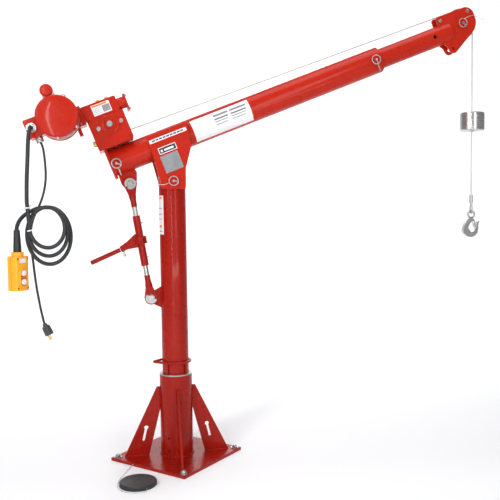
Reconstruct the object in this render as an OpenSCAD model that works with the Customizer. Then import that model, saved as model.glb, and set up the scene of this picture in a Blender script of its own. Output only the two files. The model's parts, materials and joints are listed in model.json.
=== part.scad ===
// Floor-mounted davit crane: pedestal base, turning mast, luffing telescopic boom held by a
// ratchet screw jack, electric worm winch with a hand pendant, wire rope, tension weight and hook.
// Origin: centre of the base plate's underside, on the floor. +Z up, +X towards the boom tip.

/* [Base] */
// Side of the square base plate
base_side = 400; // [380:5:430]
// Thickness of the base plate
base_t = 12.7; // [10:0.1:16]
// Bolt circle of the four anchor holes
anchor_pcd = 508; // [490:1:512]
// Radius of an anchor hole
anchor_hole_r = 8.75; // [7:0.25:9.5]
// Outer radius of the socket tube
socket_r = 69.85; // [68:0.05:75]
// Height of the socket tube's rim above the floor
socket_top = 362; // [330:1:380]

/* [Mast] */
// Outer radius of the mast tube
mast_r = 57.15; // [55:0.05:58]
// Wall of the mast and boom tubes
tube_wall = 6.35; // [4:0.05:8]
// Height of the mast tube's top end
mast_top = 1268; // [1250:1:1272]
// Height of the boom pivot
pivot_z = 1189.5; // [1180:0.5:1200]
// Height of the turning handle
handle_z = 418; // [400:1:500]

/* [Boom] */
// Boom elevation in the rest position
boom_angle = 21.36; // [20:0.01:23]
// Height where the boom axis crosses the mast axis
boom_z = 1363.9; // [1355:0.1:1370]
// Outer radius of the boom's outer tube
boom_r = 57.15; // [55:0.05:58]
// Tail end of the outer tube, from the mast axis
boom_tail = 267; // [260:1:280]
// Front end of the outer tube, from the mast axis
boom_front = 1000; // [950:1:1005]
// Outer radius of the sliding inner tube
inner_r = 44.45; // [43:0.05:45]
// Wall of the inner tube
inner_wall = 7.6; // [5:0.1:9]
// Distance between the three telescope positions
extend_pitch = 312; // [300:1:312]

/* [Winch and rope] */
// Radius of the wire rope
rope_r = 3.2; // [2.5:0.1:4]
// Rope centre radius on the drum
drum_pitch_r = 41; // [38:0.5:44]
// Rope centre radius on the tip sheave
sheave_pitch_r = 65.5; // [60:0.5:68]
// Radius of the tension weight
weight_r = 57; // [45:1:60]
// Height of the tension weight
weight_h = 83; // [60:1:100]

/* [Hidden] */

paint = "firebrick";
steel = "silver";
fit = 0.05;            // radial clearance of a pin in its bore
gap = 0.35;            // clearance between plates that slide past each other

// Places in the boom's own frame: u along the boom from the mast axis, v up from the boom axis.
pivot_u = -63.5;
pivot_v = -162.4;
pivot_pin_r = 12.7;
drum_u = -218;
drum_v = 145;
worm_v = 209;
worm_y = -64;
motor_u = -397;
motor_v = 222;
motor_r = 79;
motor_front = -275;
sheave_u = 1432;
sheave_v = 14.5;
lock_pin_r = 8;
extension_u = 964;
winch_pin_u = -253;
winch_pin_v = -10;

// Screw jack: lower pin W on the mast lug, upper pin U on the boom's tail lug, both at y = 0.
jack_w = [-99, 0, 695.2];
jack_u = [-176.3, 0, 1181.3];
jack_len = norm(jack_u - jack_w);
jack_tilt = atan2(jack_w[0] - jack_u[0], jack_u[2] - jack_w[2]);
jack_pin_r = 8;
barrel_r = 16;
barrel_from = 140.4;
barrel_to = 355.4;
screw_r = 10.5;
screw_in_barrel = 70;
neck_len = 99;
fork_in = 7;
fork_out = 16;

// Hook line
hook_x = 1394;
weight_z = 1417;
fall_low = 1120;
sheave_z = boom_z + sheave_u * sin(boom_angle) + sheave_v * cos(boom_angle);

// Pendant handset: centre, yaw and size
pendant_at = [-604, -289, 778];
pendant_yaw = 48;
pendant_w = 60;
pendant_d = 52;
pendant_h = 128;
neck_top = pendant_h + 15;
button_r = 10.5;
button_low = 33;
button_high = 66;

// Routes of the free cords, point by point
power_route = [
    [-518, -195, 1337], [-511, -195, 1319], [-506, -195, 1290], [-503, -195, 1250], [-502, -195, 1210],
    [-505, -196, 1175], [-511, -197, 1145], [-519, -198, 1118], [-531, -199, 1088], [-545, -200, 1060],
    [-556, -200, 1031], [-562, -200, 1000], [-564, -200, 960], [-562, -200, 915], [-558, -200, 877],
    [-553, -200, 820], [-547, -200, 768], [-541, -200, 728], [-535, -200, 690], [-527, -200, 650],
    [-524, -200, 636]];
cable_down = [
    [-547, -251, 1384], [-547, -261, 1383.5], [-547, -283, 1379], [-548, -303, 1366], [-549, -317, 1346],
    [-551, -323, 1318], [-553, -324, 1280], [-556, -324, 1235], [-559, -323, 1190], [-561, -321, 1145],
    [-562, -318, 1105], [-560, -313, 1070]];
cable_up = [
    [-533, -260.5, 1081], [-558, -261, 1070], [-579, -264, 1056], [-594, -271, 1039], [-601, -280, 1023],
    [-603.5, -286, 1013], [-604, -289, 1003]];
cable_r = 7.5;
coil_x = -497;
coil_y = -309;
coil_top = 1086;
loop_steps = 14;
loop_points = 40;
tether_route = [
    [-192.9, -90, 9], [-198, -95.5, 8], [-206, -107, 4], [-215, -128, 2], [-228, -160, 1.5],
    [-244, -200, 1.5], [-256, -240, 1.5], [-262, -280, 1.5], [-258, -320, 1.5], [-240, -352, 1.5],
    [-212, -372, 1.5], [-182, -379, 1.5], [-160, -376, 2.5], [-151.8, -368, 5.5], [-153.2, -357.6, 8]];

// ---------- helpers ----------

module at_boom() { translate([0, 0, boom_z]) rotate([0, -boom_angle, 0]) children(); }

module at_jack() { translate(jack_w) rotate([0, -jack_tilt, 0]) children(); }

module at_drum() { at_boom() translate([drum_u, 0, drum_v]) children(); }

// Round bar along Y, from y0 to y1
module rod_y(r, y0, y1) { translate([0, y1, 0]) rotate([90, 0, 0]) cylinder(r = r, h = y1 - y0, $fn = 64); }

// Round bar along X, from x0 to x1
module rod_x(r, x0, x1) { translate([x0, 0, 0]) rotate([0, 90, 0]) cylinder(r = r, h = x1 - x0, $fn = 64); }

// Plate in the XZ plane, from y0 to y1
module plate_y(y0, y1) { translate([0, y1, 0]) rotate([90, 0, 0]) linear_extrude(y1 - y0) children(); }

// Profile turned about Y: profile x is the radius, profile y runs towards -Y
module turned_y() { rotate([90, 0, 0]) rotate_extrude($fn = 64) children(); }

module box(x0, x1, y0, y1, z0, z1) { translate([x0, y0, z0]) cube([x1 - x0, y1 - y0, z1 - z0]); }

function arc(cx, cy, r, a0, a1, n) = [for (i = [0:n]) [cx + r * cos(a0 + (a1 - a0) * i / n), cy + r * sin(a0 + (a1 - a0) * i / n)]];

function unit(v) = v / norm(v);

// Direction of a route at its point i
function heading(p, i) = unit(p[min(i + 1, len(p) - 1)] - p[max(i - 1, 0)]);

// Tube swept along a route with rings square to it; up is a fixed side direction never along the route
module cord_tube(p, r, sides, up) {
    rings = [for (i = [0:len(p) - 1])
        let (t = heading(p, i), a = unit(cross(t, up)), b = cross(t, a))
        for (k = [0:sides - 1]) p[i] + r * (a * cos(360 * k / sides) + b * sin(360 * k / sides))];
    last = (len(p) - 1) * sides;
    sides_quads = [for (i = [0:len(p) - 2], k = [0:sides - 1])
        let (n = (k + 1) % sides)
        [i * sides + k, (i + 1) * sides + k, (i + 1) * sides + n, i * sides + n]];
    start_cap = [[for (k = [0:sides - 1]) k]];
    end_cap = [[for (k = [0:sides - 1]) last + sides - 1 - k]];
    polyhedron(points = rings, faces = concat(start_cap, sides_quads, end_cap), convexity = 10);
}

// Detent ring pin with its axis along Y: head outside y = face, shank going to y = tip
module ring_pin(r, face, tip, ring_angle) {
    rod_y(r, face - 1, tip);
    rod_y(r + 3, face - 9, face);
    translate([0, face - 12, 0]) {
        turned_y() translate([19, 0]) circle(r = 2.2, $fn = 24);
        rotate([0, ring_angle, 0]) rod_x(2.6, 0, 18);
        rod_y(5, -3, 3.5);
    }
}

// ---------- base ----------

module base_plate() {
    color(paint) difference() {
        rotate(45) translate([-base_side / 2, -base_side / 2, 0]) cube([base_side, base_side, base_t]);
        for (a = [0:90:270]) {
            rotate(a) translate([anchor_pcd / 2, 0, -1]) cylinder(r = anchor_hole_r, h = base_t + 2, $fn = 48);
        }
    }
}

module socket_tube() {
    bearing_angle = 236;
    color(paint) difference() {
        translate([0, 0, base_t]) cylinder(r = socket_r, h = socket_top - base_t, $fn = 96);
        translate([0, 0, base_t - 1]) cylinder(r = socket_r - tube_wall, h = socket_top, $fn = 96);
        for (z = [40, 95]) rotate(bearing_angle) translate([0, 0, z]) rod_x(5, 50, 90);
    }
}

module base_gusset() {
    difference() {
        plate_y(-4.75, 4.75) polygon([
            [socket_r, 309], [83, 309], [226, base_t], [121, base_t], [socket_r, 212]]);
        translate([131.5, 0, 133]) rod_y(9, -10, 10);
        plate_y(-10, 10) polygon([[126.5, 133], [136.5, 133], [149, 80], [139, 80]]);
        translate([144, 0, 80]) rod_y(5, -10, 10);
    }
}

module base_gussets() {
    color(paint) for (a = [0:90:270]) rotate(a) base_gusset();
}

// Thrust disc and lower sleeve at the bottom of the socket, flanged sleeve at its rim
module socket_bearings() {
    sleeve_r = socket_r - tube_wall;
    color("slategray") {
        translate([0, 0, base_t]) cylinder(r = sleeve_r, h = 8, $fn = 96);
        difference() {
            translate([0, 0, base_t + 8]) cylinder(r = sleeve_r, h = 50, $fn = 96);
            translate([0, 0, base_t]) cylinder(r = mast_r + fit, h = 80, $fn = 96);
        }
        difference() {
            union() {
                translate([0, 0, socket_top - 60]) cylinder(r = sleeve_r, h = 66, $fn = 96);
                translate([0, 0, socket_top]) cylinder(r = socket_r, h = 6, $fn = 96);
            }
            translate([0, 0, socket_top - 70]) cylinder(r = mast_r + fit, h = 90, $fn = 96);
        }
    }
}

cap_x = -182;
cap_y = -290;

// Cup-shaped cover that closes the empty socket, lying on the floor mouth down
module socket_cap() {
    color([0.12, 0.12, 0.12]) translate([cap_x, cap_y, 0]) rotate_extrude($fn = 96) polygon([
        [0, 12], [69, 12], [69, 0], [73, 0], [73, 13], [70, 16], [62, 16], [60, 15], [0, 15]]);
}

module cap_tether() {
    color(steel) cord_tube(tether_route, 1.25, 8, [0, 0, 1]);
}

// ---------- mast ----------

module mast_tube() {
    sleeve_r = 19.05;
    foot = base_t + 8.3;
    color(paint) difference() {
        union() {
            difference() {
                translate([0, 0, foot]) cylinder(r = mast_r, h = mast_top - foot, $fn = 96);
                translate([0, 0, foot - 1]) cylinder(r = mast_r - tube_wall, h = mast_top - foot - 5, $fn = 96);
            }
            translate([0, 0, pivot_z]) rod_y(sleeve_r, -mast_r + 3, mast_r - 3);
        }
        translate([0, 0, pivot_z]) rod_y(pivot_pin_r + fit, -mast_r - 5, mast_r + 5);
    }
}

module mast_lug() {
    color(paint) difference() {
        union() {
            translate(jack_w) rod_y(23, -6.35, 6.35);
            plate_y(-6.35, 6.35) polygon([[-57.2, 742], [-57.2, 652], [-99, 673], [-116, 709]]);
        }
        translate(jack_w) rod_y(jack_pin_r + fit, -20, 20);
    }
}

// Teardrop grab loop bent from round bar around the mast, on two short upright stops
module turning_handle() {
    bar_r = 6;
    loop_r = mast_r + bar_r + 0.05;
    tip_r = 12;
    tip_x = -79;
    lap = 1;
    swing = asin((loop_r - tip_r) / -tip_x);
    leg = sqrt(tip_x * tip_x - pow(loop_r - tip_r, 2));
    color(paint) union() {
        translate([0, 0, handle_z]) {
            rotate(-90 - swing) rotate_extrude(angle = 180 + 2 * swing, $fn = 96)
                translate([loop_r, 0]) circle(r = bar_r, $fn = 32);
            translate([tip_x, 0, 0]) rotate(90 + swing) rotate_extrude(angle = 180 - 2 * swing, $fn = 48)
                translate([tip_r, 0]) circle(r = bar_r, $fn = 32);
            for (s = [-1, 1]) {
                rotate(s * (90 + swing)) translate([loop_r, s * -lap, 0]) rotate([s * -90, 0, 0])
                    cylinder(r = bar_r - 0.3, h = leg + 2 * lap, $fn = 32);
            }
        }
        for (a = [-130, -50]) {
            rotate(a) translate([loop_r, 0, socket_top + 9])
                cylinder(r = 5, h = handle_z - bar_r - socket_top - 7, $fn = 32);
        }
    }
}

// ---------- screw jack ----------

// Forged jaw with its eye at the origin and its threaded shank going up
module jack_fork(screw_end) {
    difference() {
        union() {
            for (s = [-1, 1]) {
                mirror([0, s < 0 ? 1 : 0, 0]) plate_y(fork_in, fork_out) union() {
                    circle(r = 28, $fn = 64);
                    polygon([[-27, 6], [27, 6], [15, 48], [-15, 48]]);
                }
            }
            translate([0, 0, 38]) cylinder(r = 16, h = 16, $fn = 48);
            translate([0, 0, 54]) cylinder(r1 = 16, r2 = 12.5, h = 20, $fn = 48);
            translate([0, 0, 74]) cylinder(r = 12.5, h = neck_len - 74, $fn = 48);
            translate([0, 0, neck_len]) cylinder(r = screw_r, h = screw_end - neck_len, $fn = 48);
        }
        rod_y(jack_pin_r + fit, -20, 20);
    }
}

// Headed pin through a fork, with a washer each side
module jack_pin() {
    rod_y(jack_pin_r, -fork_out, fork_out);
    rod_y(24, -fork_out - 2.5, -fork_out - 0.02);
    rod_y(24, fork_out + 0.02, fork_out + 2.5);
    rod_y(jack_pin_r, -fork_out - 1, fork_out + 1);
    rod_y(12, -fork_out - 12, -fork_out - 2);
    rod_y(12, fork_out + 2, fork_out + 10);
}

module jack_lower_fork() {
    color(paint) at_jack() jack_fork(barrel_from + screw_in_barrel);
}

module jack_lower_pin() { color(steel) at_jack() jack_pin(); }

module jack_barrel() {
    color(paint) at_jack() difference() {
        translate([0, 0, barrel_from]) cylinder(r = barrel_r, h = barrel_to - barrel_from, $fn = 64);
        translate([0, 0, barrel_from - 1]) cylinder(r = screw_r + gap, h = barrel_to - barrel_from + 2, $fn = 64);
    }
}

module jack_upper_fork() {
    upper_screw = jack_len - barrel_to + screw_in_barrel;
    color(paint) at_jack() translate([0, 0, jack_len]) rotate([0, 180, 0]) jack_fork(upper_screw);
}

module jack_upper_pin() { color(steel) at_jack() translate([0, 0, jack_len]) jack_pin(); }

module ratchet_body() {
    color(paint) at_jack() difference() {
        union() {
            translate([0, 0, 234]) cylinder(r = 26, h = 32, $fn = 64);
            plate_y(-11, 11) polygon([
                [-14, 280], [-20, 280], [-58, 254], [-92, 238], [-86, 214], [-60, 222], [-20, 222], [-14, 222]]);
        }
        translate([0, 0, 200]) cylinder(r = barrel_r + fit, h = 100, $fn = 64);
        translate([-76, 0, 200]) cylinder(r = 4.2, h = 32, $fn = 32);
    }
}

module ratchet_handle() {
    color(paint) at_jack() translate([-90, 0, 225.4]) rotate([0, -104.4, 0]) {
        cylinder(r = 9.5, h = 130, $fn = 48);
        translate([0, 0, 130]) cylinder(r1 = 9.5, r2 = 6.5, h = 4, $fn = 48);
    }
}

// Plunger that sets the ratchet's turning direction, pulled out against its spring
module ratchet_pawl() {
    color(steel) at_jack() translate([-76, 0, 0]) {
        translate([0, 0, 204]) cylinder(r = 4, h = 20, $fn = 32);
        translate([0, 0, 194]) cylinder(r = 6, h = 10, $fn = 32);
    }
}

// ---------- boom ----------

module boom_tube() {
    color(paint) at_boom() difference() {
        rod_x(boom_r, -boom_tail, boom_front);
        rod_x(boom_r - tube_wall, -boom_tail - 1, boom_front + 1);
        translate([extension_u, 0, 0]) rod_y(lock_pin_r + fit, -80, 0);
        translate([winch_pin_u, 0, winch_pin_v]) rod_y(lock_pin_r + fit, -80, 0);
        translate([-158, 0, 20]) cylinder(r = 17, h = 60, $fn = 48);
    }
}

// Wear ring inside the mouth of the outer tube
module boom_bushing() {
    color("slategray") at_boom() difference() {
        rod_x(boom_r - tube_wall, boom_front - 70, boom_front);
        rod_x(inner_r + 0.1, boom_front - 80, boom_front + 10);
        translate([extension_u, 0, 0]) rod_y(lock_pin_r + fit, -80, 0);
    }
}

module side_plate_outline() {
    polygon(concat(
        [[-100, -8], [-100, 44], [82, 44], [74, 0], [61, -56], [5, -133], [-24, -205]],
        [[-30, -212]], [[-114, -178], [-121, -170], [-114, -138]]));
}

module side_plates() {
    color(paint) at_boom() for (s = [0, 1]) {
        mirror([0, s, 0]) difference() {
            plate_y(boom_r + gap, boom_r + gap + 9) side_plate_outline();
            translate([pivot_u, 0, pivot_v]) rod_y(pivot_pin_r + fit, 0, 100);
        }
    }
}

// Single plate under the tail; its slot lets the jack's upper pin shift as the boom luffs
module tail_lug() {
    color(paint) difference() {
        at_boom() plate_y(-6.35, 6.35) polygon([
            [-262, -57.6], [-188, -57.6], [-186, -72], [-200, -106], [-228, -134], [-256, -121], [-265, -95]]);
        at_boom() intersection() {
            rod_x(boom_r + 0.2, -270, -180);
        }
        translate(jack_u) plate_y(-20, 20) union() {
            circle(r = 8.7, $fn = 48);
            translate([-13.35, -5.45]) circle(r = 8.7, $fn = 48);
            translate([-10.5, 3.2]) circle(r = 8.7, $fn = 48);
            polygon([[2.5, 8.3], [-7.9, 11.5], [-18.7, 5.9], [-21.5, -2.7], [-10, -13.4], [3.2, -8]]);
        }
    }
}

module pivot_pin() {
    color(steel) at_boom() translate([pivot_u, 0, pivot_v]) {
        ring_pin(pivot_pin_r, -boom_r - gap - 9, boom_r + gap + 16, 30);
    }
}

// Two short wire leads that keep the pivot pin and the jack pin from being lost
module boom_lanyards() {
    color(steel) {
        cord_tube([[-22.5, -80, 1180.5], [-32, -82, 1175.5], [-48, -80, 1174], [-66, -76, 1176],
            [-84, -72, 1186], [-96, -70, 1204], [-100, -69, 1226]], 1.2, 8, [0, 1, 0]);
        cord_tube([[-158, -29, 1186], [-144, -34, 1196], [-128, -42, 1206], [-112, -52, 1214],
            [-102, -62, 1222], [-97, -67, 1232]], 1.2, 8, [0, 1, 0]);
    }
}

// ---------- sliding boom and tip ----------

module inner_tube() {
    color(paint) at_boom() difference() {
        rod_x(inner_r, 580, 1368);
        rod_x(inner_r - inner_wall, 570, 1380);
        for (i = [-1:1]) translate([extension_u + i * extend_pitch, 0, 0]) rod_y(8.5, -60, 60);
        for (s = [-1, 1]) box(1317, 1380, s * 21.5 - 4.1, s * 21.5 + 4.1, -60, 60);
        box(1346, 1380, -21.5, 21.5, -60, 60);
    }
}

function head_outline() = concat(
    [[1318, -47]], arc(1328, 69, 10, 180, 90, 6), arc(1462, 37, 42, 90, 0, 12),
    arc(1443, 16, 61, 0, -61.7, 10), arc(1354, -76, 22, -61.7, -180, 10), [[1327, -58]]);

module head_plates() {
    color(paint) at_boom() for (s = [-1, 1]) {
        difference() {
            plate_y(s * 21.5 - 4, s * 21.5 + 4) polygon(head_outline());
            translate([sheave_u, 0, sheave_v]) rod_y(pivot_pin_r + fit, -40, 40);
            translate([1354, 0, -76]) rod_y(7.5, -40, 40);
        }
    }
}

module sheave() {
    groove_r = sheave_pitch_r - rope_r - 0.3;
    color(steel) at_boom() translate([sheave_u, 0, sheave_v]) turned_y() polygon(concat(
        [[pivot_pin_r + fit, -14], [26, -14], [26, -9], [54, -9], [56, -12], [70, -12], [70, -8.5]],
        [for (i = [0:8]) let (a = -90 + 22.5 * i) [groove_r + 4 - 4 * cos(a), 4 * sin(a)]],
        [[70, 8.5], [70, 12], [56, 12], [54, 9], [26, 9], [26, 14], [pivot_pin_r + fit, 14]]));
}

module sheave_pin() {
    color(steel) at_boom() translate([sheave_u, 0, sheave_v]) ring_pin(pivot_pin_r, -25.5, 36, 60);
}

// Wire lead of the sheave pin: over the nose, ending in a loop
module head_lanyard() {
    color(steel) cord_tube([
        [1331, -41, 1916], [1348, -42, 1924], [1366, -40, 1931], [1384, -34, 1934], [1402, -30, 1930],
        [1418, -29, 1925], [1434, -29, 1919], [1439, -29, 1911], [1430, -29, 1904], [1416, -29, 1903]],
        1.2, 8, [0, 1, 0]);
}

// ---------- lock pins ----------

module extension_pin() {
    color(steel) at_boom() translate([extension_u, 0, 0]) ring_pin(lock_pin_r, -boom_r - 1, -inner_r - 0.6, 80);
}

module winch_pin() {
    color(steel) at_boom() translate([winch_pin_u, 0, winch_pin_v]) ring_pin(lock_pin_r, -boom_r - 1, -34, 35);
}

// ---------- winch ----------

// Plug that slides into the boom's tail, with an end plate and the saddle that carries the winch
module winch_mount() {
    plug_r = boom_r - tube_wall - 0.3;
    color(paint) at_boom() difference() {
        union() {
            rod_x(plug_r, -boom_tail - 1, -205);
            box(-279, -boom_tail - 0.02, -45, 45, -68, boom_r + 0.3);
            box(-296, -150, -88, 74, boom_r + 0.2, 65);
        }
        rod_x(plug_r - 8, -boom_tail + 4, -200);
        translate([winch_pin_u, 0, winch_pin_v]) rod_y(lock_pin_r + fit, -60, 0);
    }
}

module bearing_plate() {
    color(paint) at_drum() difference() {
        plate_y(62, 72) polygon(concat(
            [[-52, 65.02 - drum_v], [52, 65.02 - drum_v]], arc(0, 12, 34, 0, 180, 16)));
        rod_y(12 + fit, 50, 90);
    }
}

module gearbox_housing() {
    color(paint) at_boom() difference() {
        union() {
            box(-298, -146, -78, -42, 65.02, 184.98);
        }
        translate([drum_u, 0, drum_v]) rod_y(40, -79, -50);
        translate([drum_u, 0, drum_v]) rod_y(12 + fit, -100, 0);
        box(-260, -176, -76, -52, drum_v, 186);
    }
}

// Front cover of the gearbox with its shaft boss and two bolt heads' seats
module gearbox_cover() {
    color(paint) at_boom() difference() {
        union() {
            box(-298, -146, -90, -78.02, 65.02, 184.98);
            translate([drum_u, 0, drum_v]) rod_y(39.5, -94, -89);
            translate([drum_u, 0, drum_v]) rod_y(22, -98, -89);
        }
        translate([drum_u, 0, drum_v]) rod_y(12 + fit, -110, -60);
    }
}

module worm_housing() {
    color(paint) at_boom() difference() {
        box(-302, -156, -92, -42, 185, 245);
        translate([0, worm_y, worm_v]) rod_x(8 + fit, -310, -140);
        translate([0, worm_y, worm_v]) rod_x(17, -256, -180);
        box(-256, -180, worm_y - 17, worm_y + 17, 180, worm_v);
    }
}

module worm_end_cap() {
    color(paint) at_boom() {
        translate([0, worm_y, worm_v]) rod_x(23.9, -155.98, -125);
        box(-126, -118, -98, -30, 170, 238);
    }
}

// Worm with its shaft, driven from the gearhead at its left end
module worm_shaft() {
    color(steel) at_boom() translate([0, worm_y, worm_v]) {
        rod_x(8, -370, -158);
        rod_x(14, -250, -186);
        rod_x(28, -366, -354);
    }
}

module worm_wheel() {
    color("goldenrod") at_drum() difference() {
        rod_y(38, worm_y - 11, worm_y + 11);
        rod_y(12.02, -80, -40);
    }
}

module drum() {
    color(steel) at_drum() {
        rod_y(12, -99, 80);
        difference() {
            union() {
                rod_y(37.5, -38, 58);
                rod_y(62, -38, -33);
                rod_y(62, 53, 58);
            }
            rod_y(12, -40, 60);
        }
    }
}

// Layers of rope wound on the drum
module rope_on_drum() {
    color("darkgray") at_drum() difference() {
        rod_y(40.5, -32.9, 52.9);
        rod_y(37.6, -34, 54);
    }
}

// Right-angle gear case between the motor and the worm
module gearhead() {
    color(paint) at_boom() difference() {
        union() {
            box(-450, -303, -118, -24, 172, 250);
            box(-345, -330, -80, -50, 140, 173);
        }
        box(-440, -312, -108, -32, 179, 243);
        translate([0, worm_y, worm_v]) rod_x(8 + fit, -320, -300);
        translate([motor_u, 0, motor_v]) rod_y(8 + fit, -130, -100);
    }
}

module at_motor() { at_boom() translate([motor_u, 0, motor_v]) children(); }

module motor_housing() {
    wall = 6;
    color(paint) at_motor() difference() {
        union() {
            rod_y(motor_r, -255, -118.02);
            for (a = [50, 250, 310]) rotate([0, -a, 0]) {
                box(motor_r - 4, motor_r + 7, -254.9, -240, -7, 7);
                box(motor_r + 0.3, motor_r + 7, -262, -254, -7, 7);
            }
        }
        rod_y(motor_r - wall, -256, -126);
        rod_y(8 + fit, -130, -100);
    }
}

// Domed end bell of the motor
module motor_cover() {
    color(paint) at_motor() translate([0, motor_front, 0]) turned_y() polygon(concat(
        [[0, -19.98], [motor_r, -19.98]], arc(motor_r - 9, -12, 9, 0, 80, 8), [[40, -0.6], [0, 0]]));
}

module motor_rotor() {
    color(steel) at_motor() {
        rod_y(8, -250, -60);
        rod_y(52, -235, -140);
        rod_y(12, -76, -60);
    }
}

module capacitor_case() {
    color(paint) at_motor() translate([1, 0, motor_r + 23.5]) {
        rod_y(23, -255, -140);
        translate([0, -255, 0]) turned_y() polygon(concat([[0, -0.5], [23, -0.5]], arc(15, 0, 8, 0, 90, 6), [[0, 8]]));
    }
}

module junction_box() {
    color(paint) at_boom() difference() {
        box(-521, -464, -232, -158, 180, 254);
        box(-517, -480, -228, -162, 184, 250);
        translate([motor_u, 0, motor_v]) rod_y(motor_r + 0.1, -260, -100);
        translate([-502, 0, 218]) rod_y(8.3, -240, -220);
        translate([-492, -195, 170]) cylinder(r = 4.8, h = 30, $fn = 48);
    }
}

// Glands of the pendant cable (front) and the power cord (bottom)
module cable_glands() {
    color(steel) at_boom() {
        translate([-502, 0, 218]) difference() {
            union() {
                rod_y(19, -242, -232.02);
                rod_y(15, -251, -241);
            }
            rod_y(cable_r + fit, -260, -220);
        }
        translate([-492, -195, 160]) difference() {
            cylinder(r = 14, h = 19.98, $fn = 48);
            translate([0, 0, -1]) cylinder(r = 5.5, h = 30, $fn = 48);
        }
    }
}

// ---------- wire rope, weight and hook ----------

// Rope from the drum's underside over the tip sheave
module rope_run() {
    run_from = [drum_u + 20, drum_v - drum_pitch_r];
    run_to = [sheave_u, sheave_v + sheave_pitch_r];
    rise = run_to - run_from;
    color("darkgray") at_boom() union() {
        translate([run_from[0], 0, run_from[1]]) rotate([0, -atan2(rise[1], rise[0]), 0])
            rod_x(rope_r - 0.1, 0, norm(rise) + 1);
        translate([sheave_u, 0, sheave_v]) rotate([90, 0, 0]) rotate([0, 0, -boom_angle])
            rotate_extrude(angle = 90 + boom_angle, $fn = 96) translate([sheave_pitch_r, 0]) circle(r = rope_r, $fn = 32);
    }
}

module rope_fall() {
    color("darkgray") translate([hook_x, 0, fall_low]) cylinder(r = rope_r, h = sheave_z - fall_low, $fn = 32);
}

module tension_weight() {
    color(steel) translate([hook_x, 0, weight_z]) rotate_extrude($fn = 96) polygon(concat(
        [[rope_r + 0.4, 0], [weight_r - 6, 0]], arc(weight_r - 6, 6, 6, -90, 0, 6),
        arc(weight_r - 6, weight_h - 6, 6, 0, 90, 6), [[rope_r + 0.4, weight_h]]));
}

loop_z = 1045.5;
loop_half = 10;

// Swaged ferrule and thimble eye at the rope's end
module rope_thimble() {
    strap = [loop_half - 4, 1088 - loop_z];
    color(steel) translate([hook_x, 0, 0]) {
        translate([0, 0, 1084]) cylinder(r = 8, h = fall_low - 1084 - 0.02, $fn = 48);
        for (s = [-1, 1]) {
            translate([0, s * loop_half, loop_z]) rotate([s * atan2(strap[0], strap[1]), 0, 0])
                cylinder(r = rope_r, h = norm(strap), $fn = 32);
        }
        translate([0, 0, loop_z]) rotate([0, 90, 0]) rotate([0, 0, -90])
            rotate_extrude(angle = 180, $fn = 64) translate([loop_half, 0]) circle(r = rope_r, $fn = 32);
    }
}

eye_r = 16;
eye_z = 1029.5;
latch_x = 8;
latch_z = 1000;

// Eye hook, its bowl open towards +X
module hook() {
    color(steel) translate([hook_x, 0, 0]) {
        difference() {
            plate_y(-9, 9) union() {
                polygon([
                    [-12, 1018], [-25, 1004], [-35, 984], [-42, 967], [-43.5, 953], [-37, 940], [-22, 928],
                    [-4, 923], [14, 928], [29, 942], [33, 964], [33, 980], [38, 997], [34, 1002],
                    [30, 997], [27, 984], [21, 967], [11, 952], [0, 947], [-7, 952], [-16, 963],
                    [-18, 972], [-6, 992], [3, 1001], [4, 1008], [4, 1014]]);
                translate([latch_x, latch_z + 3]) circle(r = 5, $fn = 32);
            }
            translate([latch_x, 0, latch_z + 3]) rod_y(2 + fit, -20, 20);
            translate([0, 0, eye_z]) rod_y(eye_r, -20, 20);
        }
        translate([0, 0, eye_z]) turned_y() translate([eye_r, 0]) circle(r = 5, $fn = 32);
    }
}

// Sprung safety latch across the hook's mouth
module hook_latch() {
    color(steel) translate([hook_x + latch_x, 0, latch_z + 3]) {
        rod_y(2, -11, 11);
        for (s = [-1, 1]) {
            plate_y(s * 10.3 - 0.9, s * 10.3 + 0.9) union() {
                circle(r = 4, $fn = 32);
                polygon([[-3, 0], [4, 0], [7.5, -14], [4, -14]]);
            }
        }
        plate_y(-11.2, 11.2) polygon([[4, -13.5], [7.5, -13.5], [11.5, -34], [9.5, -34]]);
    }
}

// ---------- pendant and power cord ----------

// One loose coil hung by its top: each turn a little larger and further back than the last
function loop_point(i) = let (turn = i / loop_steps, a = 150 + 360 * turn, rise = 70 + 16 * turn) [
    coil_x + 2 * turn + (60 + 8 * turn) * cos(a),
    coil_y + 16.5 * turn,
    coil_top - rise + rise * sin(a)];

cable_loops = [for (i = [1:loop_points]) loop_point(i)];
pendant_route = concat(cable_down, cable_loops, cable_up);

module pendant_cable() {
    color([0.1, 0.1, 0.1]) cord_tube(pendant_route, cable_r, 10, [-0.4, 1, 0]);
}

// Tapered sleeve standing on the handset's neck
module pendant_boot() {
    color([0.1, 0.1, 0.1]) at_pendant() translate([0, 0, neck_top])
        cylinder(r1 = 15, r2 = 11, h = cable_up[len(cable_up) - 1][2] - pendant_at[2] - neck_top, $fn = 48);
}

function rounded_rect(w, d, r) = concat(
    arc(w / 2 - r, d / 2 - r, r, 0, 90, 5), arc(-w / 2 + r, d / 2 - r, r, 90, 180, 5),
    arc(-w / 2 + r, -d / 2 + r, r, 180, 270, 5), arc(w / 2 - r, -d / 2 + r, r, 270, 360, 5));

module at_pendant() { translate(pendant_at) rotate(pendant_yaw) children(); }

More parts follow.
